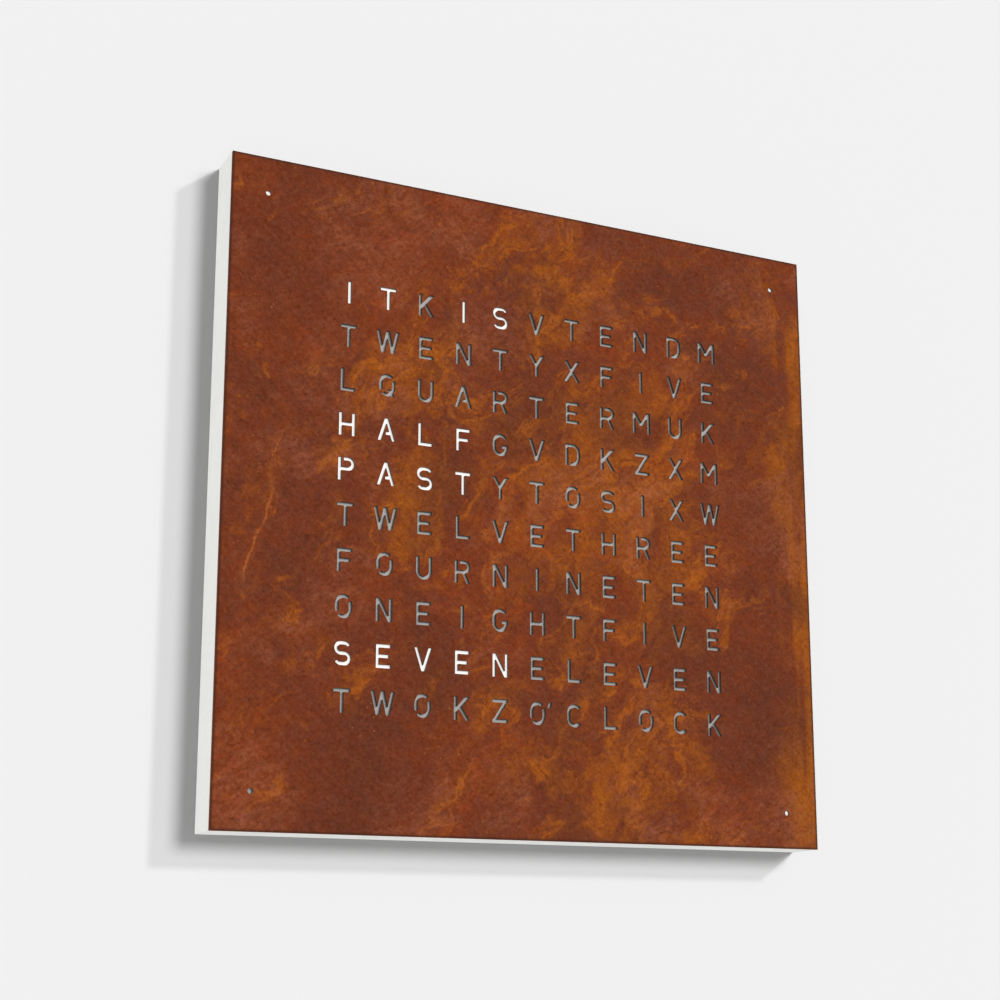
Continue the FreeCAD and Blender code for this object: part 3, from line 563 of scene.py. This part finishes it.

# %% [markdown]
# Behind the letters lies a sheet of opal acrylic. Each letter has its own light chamber, so the
# sheet glows in whole cells, and the cut letters show only a small part of each. Instead of a
# picture of glowing words, the sheet is a real grid of cells: the lit ones take a glowing finish
# and the rest a plain one that carries a faint painted glow to lift its shade. The light that
# falls on the walls of the cut comes from this for free.

# %% The opal sheet behind the letters
# Each lit word: its row, its first column and how many letters it has.
LIT_WORDS = {
    "it": (0, 0, 2), "is": (0, 3, 2), "half": (3, 0, 4), "past": (4, 0, 4), "seven": (8, 0, 5),
}
GLOW = 0.74
# A faint painted glow on every unlit cell, which lifts the shade inside the cut letters.
PAINTED_FILL_GLOW = 0.22
TUBE_SIZE = 9 * MM


def lit_cells():
    """Row and column of every letter that shines."""
    return {(row, start + step) for row, start, length in LIT_WORDS.values()
            for step in range(length)}


def opal(name, glow):
    """Opal acrylic: unlit it carries a faint, even painted glow, which lifts the shade in the cut
    letters.
    """
    finish = Finish(name, rough=0.42, shine=0.4)
    haze = finish.noise(70, 5, 0.6)
    grain = finish.noise(900, 2)
    tone = finish.ramp(haze, [(0.3, paint(120, 116, 109)), (0.7, paint(128, 124, 116))])
    finish.colour(finish.over(tone, grain, 0.12, paint(104, 104, 101)))
    finish.relief(grain, 0.04 * MM, 0.4)
    # Painted glow: a faint bluish emission on the unlit cells, standing in for fill light in the
    # cuts.
    finish.put(finish.shader.inputs["Emission Color"], paint(150, 155, 158))
    finish.shader.inputs["Emission Strength"].default_value = PAINTED_FILL_GLOW
    if glow:
        finish.put(finish.shader.inputs["Emission Color"],
                   finish.ramp(haze, [(0.2, paint(250, 250, 247)), (0.8, paint(255, 255, 255))]))
        finish.shader.inputs["Emission Strength"].default_value = glow
    return finish


def minute_light_edges(side):
    """Cuts round the corner lights on one axis, so that each has a cell of its own."""
    low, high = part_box("minute_tubes")
    return [low[side], low[side] + TUBE_SIZE, high[side] - TUBE_SIZE, high[side]]


def opal_sheet():
    """One thin slab whose front is divided along the walls of the light chambers."""
    low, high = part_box("letter_diffuser")
    half_wide = COLUMNS * column_pitch / 2
    half_tall = ROWS * row_pitch / 2
    xs = [low.x, high.x] + [-half_wide + column * column_pitch for column in range(COLUMNS + 1)]
    zs = [low.z, high.z] + [half_tall - row * row_pitch for row in range(ROWS + 1)]
    xs = sorted(xs + minute_light_edges(0))
    zs = sorted(zs + minute_light_edges(2))
    mesh = bmesh.new()
    for y in (low.y, high.y):
        grid = [[mesh.verts.new((x, y, z)) for z in zs] for x in xs]
        for i in range(len(xs) - 1):
            for j in range(len(zs) - 1):
                ring = [grid[i][j], grid[i + 1][j], grid[i + 1][j + 1], grid[i][j + 1]]
                face = mesh.faces.new(ring if y == low.y else ring[::-1])
                face.material_index = 1 if shines(face.calc_center_median()) else 0
    rims = [edge for edge in mesh.edges if edge.is_boundary]
    bmesh.ops.bridge_loops(mesh, edges=rims)
    bmesh.ops.recalc_face_normals(mesh, faces=mesh.faces)
    data = bpy.data.meshes.new("opal_sheet")
    mesh.to_mesh(data)
    mesh.free()
    data.materials.append(opal("opal_dark", 0).material)
    data.materials.append(opal("opal_lit", GLOW).material)
    sheet = bpy.data.objects.new("opal_sheet", data)
    bpy.context.collection.objects.link(sheet)
    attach(sheet, "face")
    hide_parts("letter_diffuser")
    return sheet


def shines(place):
    """Whether the cell at a place is lit: a letter of the time, or three of the corner lights."""
    beyond_letters = ROWS * row_pitch / 2 + column_pitch
    if min(abs(place.x), abs(place.z)) > beyond_letters:
        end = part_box("minute_tubes")[1]
        at_light = (end.x - TUBE_SIZE < abs(place.x) < end.x
                    and end.z - TUBE_SIZE < abs(place.z) < end.z)
        return at_light and not (place.x < 0 and place.z < 0)
    column = math.floor(place.x / column_pitch + COLUMNS / 2)
    row = math.floor(ROWS / 2 - place.z / row_pitch)
    return (row, column) in lit_cells()


sheet = opal_sheet()
print("lit cells:", sum(polygon.material_index for polygon in sheet.data.polygons) // 2)

# %% [markdown]
# The case is moulded and then sprayed with satin white lacquer. Lacquer levels out, so the only
# relief is a very faint orange peel, and its colour barely changes. The edge is softened in the
# finish by rounding the shading there, because the solid's own edges are crisp.

# %% The white case and its keys


def white_lacquer(name, tone, wear):
    """Satin lacquer: the more wear it has, the more its shine varies."""
    finish = Finish(name, rough=0.34, shine=0.45)
    cloud = finish.noise(16, 3, 0.5)
    lighter = paint(*[value + 3 for value in tone])
    finish.colour(finish.ramp(cloud, [(0.3, paint(*tone)), (0.7, lighter)]))
    peel = finish.noise(520, 2, 0.5)
    bump = finish.relief(peel, 0.03 * MM, 0.35)
    round_edge = finish.tree.nodes.new("ShaderNodeBevel")
    round_edge.inputs["Radius"].default_value = 0.5 * MM
    finish.put(bump.inputs["Normal"], round_edge.outputs[0])
    finish.rough(finish.step(finish.noise(90, 4), 0.3, 0.7, 0.30, 0.30 + wear))
    return finish


dress(white_lacquer("case_lacquer", (228, 228, 225), 0.08), "case_frame")
dress(white_lacquer("key_lacquer", (222, 222, 219), 0.14),
      "button_mode", "button_plus", "button_minus")

# %% [markdown]
# The back is seen only while the clock is hung or mended, and it has the look of every such back:
# grey moulded plastic with a fine grain and faint marks where the plastic flowed.

# %% Moulded plastics


def moulded(name, tone, grain_scale=1100, rough=0.55, relief=0.05):
    """Moulded plastic with an even grain and faint flow marks."""
    finish = Finish(name, rough=rough, shine=0.4)
    flow = finish.noise(7, 3, 0.5, 0.6)
    grain = finish.noise(grain_scale, 2, 0.6)
    light = paint(*[min(255, value + 4) for value in tone])
    dark = paint(*[max(0, value - 5) for value in tone])
    body = finish.ramp(flow, [(0.3, dark), (0.7, light)])
    finish.colour(finish.over(body, grain, 0.18, dark))
    finish.relief(grain, relief * MM, 0.6)
    finish.rough(finish.step(grain, 0.3, 0.7, rough - 0.06, rough + 0.08))
    return finish


dress(moulded("panel_grey", (186, 187, 188)), "back_panel")
dress(moulded("reflector_white", (236, 236, 233), 600, 0.6), "light_grid", "minute_tubes")
dress(moulded("connector_cream", (219, 208, 180), 700, 0.5),
      "board_link", "board_socket", "board_header")
dress(moulded("switch_black", (30, 30, 32), 900, 0.45),
      "key_switches", "cell_holder", "dc_inlet_housing")
dress(moulded("chip_black", (26, 26, 28), 1500, 0.6),
      "control_chip", "driver_chips", "light_sensor_chip")
dress(moulded("lead_grey", (96, 96, 100), 800, 0.6), "key_lead", "sensor_lead", "power_lead")

# %% [markdown]
# A circuit board is a sandwich: glass cloth, copper tracks, and a coloured mask over both. The
# tracks show as faint raised lines under the mask. A brick pattern in which the bricks are long and
# thin gives lines that run straight and stop at odd places, as tracks do.

# %% Circuit boards


def circuit_board(name, mask, track):
    """Glass cloth under a coloured mask, with the tracks raised and a little lighter."""
    finish = Finish(name, rough=0.4, shine=0.5)
    x, _, z = finish.axes(finish.place)
    lines = finish.tree.nodes.new("ShaderNodeTexBrick")
    finish.put(lines.inputs["Vector"], finish.point(x, z, 0.0))
    lines.inputs["Scale"].default_value = 60
    lines.inputs["Mortar Size"].default_value = 0.035
    lines.inputs["Brick Width"].default_value = 1.7
    lines.inputs["Row Height"].default_value = 0.22
    copper = lines.outputs["Fac"]
    cloth = finish.noise(260, 3, 0.6)
    body = finish.over(paint(*mask), cloth, 0.25, paint(*track))
    finish.colour(finish.over(body, copper, 0.7, paint(*track)))
    finish.relief(finish.plus(copper, finish.times(cloth, 0.2)), 0.05 * MM, 0.5)
    return finish


dress(circuit_board("board_white", (228, 229, 226), (206, 210, 206)),
      "led_board_upper", "led_board_lower")
dress(circuit_board("board_green", (22, 84, 48), (46, 118, 70)),
      "control_board", "key_board", "light_sensor_board")

# %% [markdown]
# Bare metals here are rolled, drawn or plated. Rolled sheet has long fine lines one way, and a
# plated part has soft cloudy patches. One recipe serves both: how far the noise is stretched
# decides which of the two it looks like.

# %% Bare and plated metal


def worked_metal(name, tone, rough, stretch, contrast=0.05):
    """Bare metal whose lines run along the axis with the smallest stretch."""
    finish = Finish(name, rough=rough, metal=1.0)
    along = finish.turned(finish.place, 0, stretch)
    lines = finish.noise(1100, 4, 0.6, at=along)
    patch = finish.noise(60, 4, 0.6)
    dark = paint(*[value - 18 for value in tone])
    body = finish.over(paint(*tone), patch, 0.35, dark)
    finish.colour(finish.over(body, lines, contrast * 3, dark))
    finish.rough(finish.step(lines, 0.25, 0.75, rough - contrast, rough + contrast))
    finish.relief(lines, 0.01 * MM, 0.3)
    return finish


dress(worked_metal("zinc_plate", (204, 206, 209), 0.40, (0.15, 1, 1)), "hanger_left", "hanger_right")
dress(worked_metal("tab_steel", (176, 176, 178), 0.38, (1, 0.1, 1)), "locating_tabs")
dress(worked_metal("magnet_nickel", (200, 196, 188), 0.2, (1, 1, 1)), "face_magnets")
dress(worked_metal("can_steel", (200, 200, 200), 0.25, (1, 1, 0.2)), "quartz_crystal", "backup_cell")
dress(worked_metal("can_aluminium", (206, 207, 208), 0.32, (1, 1, 1)), "smoothing_capacitor")
dress(worked_metal("contact_brass", (206, 184, 122), 0.25, (1, 1, 0.3)), "dc_inlet_pin")

# %% [markdown]
# Each lamp is a white package with a round window of yellow phosphor. The package is a small block,
# so the window is drawn in the finish: the distance from the middle of the block, found by folding
# the place back by the pitch of the letters.

# %% The small lamps


def lamp_finish(name, pitch_x, pitch_z, shift_x, shift_z):
    """A white package with a yellow window, repeated at a pitch."""
    finish = Finish(name, rough=0.35, shine=0.5)
    x, _, z = finish.axes(finish.place)

    def fold(value, pitch, shift):
        turns = finish.calc("DIVIDE", finish.plus(value, shift), pitch)
        share = finish.calc("SUBTRACT", turns, finish.calc("ROUND", turns))
        return finish.times(share, pitch)

    spot = finish.point(fold(x, pitch_x, shift_x), 0.0, fold(z, pitch_z, shift_z))
    away = finish.shift("LENGTH", spot, (0.0, 0.0, 0.0))
    window = finish.step(away, LAMP_SIZE * 0.42, LAMP_SIZE * 0.36)
    yellows = [(0.3, paint(226, 196, 84)), (0.7, paint(242, 222, 130))]
    phosphor = finish.ramp(finish.noise(900, 3), yellows)
    finish.colour(finish.mix(window, paint(232, 232, 228), phosphor))
    finish.relief(finish.calc("SUBTRACT", 1.0, window), 0.25 * MM, 0.5)
    return finish


minute_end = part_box("minute_leds")[1]
dress(lamp_finish("letter_lamp", column_pitch, row_pitch, 0.0, row_pitch / 2), "letter_leds")
dress(lamp_finish("minute_lamp", minute_end.x * 2 - LAMP_SIZE, minute_end.z * 2 - LAMP_SIZE,
                  minute_end.x - LAMP_SIZE / 2, minute_end.z - LAMP_SIZE / 2), "minute_leds")

# %% [markdown]
# The light guide in the top is clear acrylic. Clear plastic is a shader with transmission, and it
# still needs a little life: faint haze makes it read as plastic and not as a hole.

# %% Clear acrylic


def clear_acrylic():
    """Clear plastic with a faint haze in its colour and its shine."""
    finish = Finish("clear_acrylic", rough=0.08)
    finish.shader.inputs["Transmission Weight"].default_value = 0.9
    finish.shader.inputs["IOR"].default_value = 1.49
    haze = finish.noise(300, 3)
    finish.colour(finish.ramp(haze, [(0.3, paint(232, 238, 238)), (0.7, paint(246, 248, 248))]))
    finish.rough(finish.step(haze, 0.3, 0.7, 0.05, 0.16))
    return finish


dress(clear_acrylic(), "light_sensor_window")

# %% [markdown]
# Screws are small, but a smooth disc never looks like one. Each head gets a cross recess. The screw
# is turned as a profile round its axis, and two crossed bars are cut out of its head. It is made
# once for each length and copied to its places, a little further turned each time, and the copies
# take the place of the plain solids.

# %% Countersunk screws with a cross recess
HEAD_RADIUS = 2.8 * MM
HEAD_HEIGHT = 1.7 * MM
HEAD_EDGE = 0.08 * HEAD_HEIGHT
SHANK_RADIUS = 1.5 * MM
SHANK_POINT = 0.6 * MM
ROUND = 48
RECESS_DEPTH = 1.1 * MM
RECESS_ABOVE = 0.3 * MM
TURN_EACH = 1.1
PANEL_SCREW_LENGTH = 12 * MM
PLATE_SCREW_LENGTH = 7 * MM
PLATE_SCREW_REACH = 19 * MM


def ring(mesh, radius, y):
    """A circle of points round the screw's axis."""
    turns = [2 * math.pi * step / ROUND for step in range(ROUND)]
    return [mesh.verts.new((radius * math.cos(turn), y, radius * math.sin(turn))) for turn in turns]


def screw_mesh(length):
    """A plain countersunk screw along Y, with the top of its head at y = 0."""
    mesh = bmesh.new()
    profile = [(share * HEAD_RADIUS, 0.0) for share in (0.35, 0.55, 0.75, 0.93)]
    profile += [(HEAD_RADIUS, -HEAD_EDGE), (SHANK_RADIUS, -HEAD_HEIGHT),
                (SHANK_RADIUS, SHANK_POINT - length), (0.6 * SHANK_RADIUS, -length)]
    circles = [ring(mesh, radius, y) for radius, y in profile]
    centre = mesh.verts.new((0, 0, 0))
    for step in range(ROUND):
        after = (step + 1) % ROUND
        mesh.faces.new((centre, circles[0][after], circles[0][step]))
        for inner, outer in zip(circles, circles[1:]):
            mesh.faces.new((inner[step], inner[after], outer[after], outer[step]))
    mesh.faces.new(circles[-1])
    bmesh.ops.recalc_face_normals(mesh, faces=mesh.faces)
    return mesh


def cross_cutter():
    """Two crossed bars, narrower at the bottom, to be cut out of a head."""
    mesh = bmesh.new()
    for turn in (0, math.pi / 2):
        for vert in bmesh.ops.create_cube(mesh, size=1.0)["verts"]:
            deep = vert.co.y < 0
            x, z = swing(vert.co.x * HEAD_RADIUS * (0.9 if deep else 1.25),
                         vert.co.z * HEAD_RADIUS * (0.22 if deep else 0.30), turn)
            vert.co = (x, -RECESS_DEPTH if deep else RECESS_ABOVE, z)
    bmesh.ops.recalc_face_normals(mesh, faces=mesh.faces)
    return mesh


def as_object(name, mesh):
    """An object of its own from a mesh in the making."""
    data = bpy.data.meshes.new(name)
    mesh.to_mesh(data)
    mesh.free()
    made = bpy.data.objects.new(name, data)
    bpy.context.collection.objects.link(made)
    return made


def recessed_screw(length):
    """The mesh of one finished screw."""
    screw = as_object("screw_blank", screw_mesh(length))
    cutter = as_object("cross_cutter", cross_cutter())
    press = screw.modifiers.new("recess", "BOOLEAN")
    press.object = cutter
    press.operation = "DIFFERENCE"
    bpy.context.view_layer.update()
    solid = as_mesh(screw)
    bpy.data.objects.remove(screw)
    bpy.data.objects.remove(cutter)
    return solid


def screws(name, node, spots, length, finish):
    """One object of several screws, in place of their plain solids."""
    whole = bmesh.new()
    solid = recessed_screw(length)
    for number, (x, z) in enumerate(spots):
        start = len(whole.verts)
        whole.from_mesh(solid)
        whole.verts.ensure_lookup_table()
        for vert in whole.verts[start:]:
            across, up = swing(vert.co.x, vert.co.z, number * TURN_EACH)
            vert.co = (x + across, vert.co.y, z + up)
    made = as_object(name, whole)
    made.data.materials.clear()
    made.data.materials.append(finish.material)
    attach(made, "case")
    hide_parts(node)
    print(name, len(spots), "screws,", len(made.data.polygons), "faces")
    return made


screw_zinc = worked_metal("screw_zinc", (206, 208, 211), 0.3, (1, 1, 1))
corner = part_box("back_panel_screws")[1].x - HEAD_RADIUS
corner_spots = [(side * corner, end * corner) for side in (-1, 1) for end in (-1, 1)]
screws("panel_screws", "back_panel_screws", corner_spots, PANEL_SCREW_LENGTH, screw_zinc)
plate_spots = []
for name in ("hanger_left", "hanger_right"):
    low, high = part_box(name)
    middle = (low + high) / 2
    plate_spots += [(middle.x + side * PLATE_SCREW_REACH, middle.z) for side in (-1, 1)]
screws("plate_screws", "hanger_screws", plate_spots, PLATE_SCREW_LENGTH, screw_zinc)

# %% [markdown]
# The clock hangs on a plain pale wall, which takes its soft shadow. The wall is seen only from the
# front: from behind it lets the eye through, so that the back of the clock can be looked at.

# %% The wall
WALL_SIZE = 6.0
WALL_GAP = 0.2 * MM
WALL_TONE = (240, 240, 240)


def plain_surface(name, size, tone):
    """A flat matt square that belongs to the stage and not to the clock."""
    data = bpy.data.meshes.new(name)
    half = size / 2
    data.from_pydata([(-half, -half, 0), (half, -half, 0), (half, half, 0), (-half, half, 0)], [],
                     [(0, 1, 2, 3)])
    surface = bpy.data.objects.new(name, data)
    bpy.context.collection.objects.link(surface)
    finish = Finish(name, rough=0.9, shine=0.1)
    finish.colour(paint(*tone))
    data.materials.append(finish.material)
    return surface, finish


def see_through_from_behind(finish):
    """Makes a surface clear on its back side."""
    tree = finish.tree
    clear = tree.nodes.new("ShaderNodeBsdfTransparent")
    choose = tree.nodes.new("ShaderNodeMixShader")
    behind = tree.nodes.new("ShaderNodeNewGeometry").outputs["Backfacing"]
    out = tree.nodes["Material Output"]
    tree.links.new(behind, choose.inputs[0])
    tree.links.new(finish.shader.outputs[0], choose.inputs[1])
    tree.links.new(clear.outputs[0], choose.inputs[2])
    tree.links.new(choose.outputs[0], out.inputs["Surface"])


wall, wall_finish = plain_surface("wall", WALL_SIZE, WALL_TONE)
wall.rotation_euler = (math.radians(90), 0, 0)
wall.location = (0, case_back_y + WALL_GAP, 0)
wall.visible_shadow = False
see_through_from_behind(wall_finish)
print("wall at y =", round(wall.location.y, 4))

# %% [markdown]
# Two lamps stand high on the right and in front. The softer key lamp gives the deep shadow close to
# the case, and the wide lamp, further round, gives the paler shadow that reaches beyond it. Two
# grazing lamps, from the far left and from below, light the white sides, which the key lamp never
# reaches, and they don't touch the wall or the face. A last one lights the back for whoever looks
# there, and the sky fills what is left. The lamps light what they hit and no more, because the
# bright sides would else throw a glow on the wall, and the photograph's wall is even right up to
# the clock.

# %% The lamps and the sky
# Each lamp: the way to it from the clock, its strength, and how wide it looks in degrees.
LAMPS = {
    "key_lamp": ((0.40, -1.0, 0.29), 1.68, 19),
    "wide_lamp": ((0.90, -1.0, 0.67), 0.84, 5),
    "side_lamp": ((-1.0, 0.10, 0.0), 2.45, 8),
    "under_lamp": ((0.0, 0.10, -1.0), 2.5, 8),
    "back_lamp": ((0.25, 1.0, 0.35), 1.7, 30),
}
SKY_STRENGTH = 0.355
BACKDROP_TONE = paint(240, 240, 240)


def sun(name, towards, strength, width):
    """A lamp so far off that only its direction counts."""
    data = bpy.data.lights.new(name, "SUN")
    data.energy = strength
    data.angle = math.radians(width)
    data.cycles.max_bounces = 0
    lamp = bpy.data.objects.new(name, data)
    lamp.rotation_euler = Vector(towards).to_track_quat("Z", "Y").to_euler()
    bpy.context.collection.objects.link(lamp)
    return lamp


def sky():
    """An even light from all round, which looks like a pale backdrop to the eye and in mirrors."""
    world = bpy.data.worlds.new("sky")
    bpy.context.scene.world = world
    world.use_nodes = True
    tree = world.node_tree
    light = tree.nodes["Background"]
    light.inputs["Color"].default_value = (1, 1, 1, 1)
    light.inputs["Strength"].default_value = SKY_STRENGTH
    seen = tree.nodes.new("ShaderNodeBackground")
    seen.inputs["Color"].default_value = BACKDROP_TONE
    rays = tree.nodes.new("ShaderNodeLightPath")
    either = rays.outputs["Is Camera Ray"]
    for name in ("Is Glossy Ray", "Is Transmission Ray"):
        more = tree.nodes.new("ShaderNodeMath")
        more.operation = "MAXIMUM"
        tree.links.new(either, more.inputs[0])
        tree.links.new(rays.outputs[name], more.inputs[1])
        either = more.outputs[0]
    choose = tree.nodes.new("ShaderNodeMixShader")
    tree.links.new(either, choose.inputs[0])
    tree.links.new(light.outputs[0], choose.inputs[1])
    tree.links.new(seen.outputs[0], choose.inputs[2])
    tree.links.new(choose.outputs[0], tree.nodes["World Output"].inputs["Surface"])


for name, (towards, strength, width) in LAMPS.items():
    sun(name, towards, strength, width)
sky()
bpy.context.scene.view_settings.view_transform = "Standard"
print("lamps:", len(LAMPS))
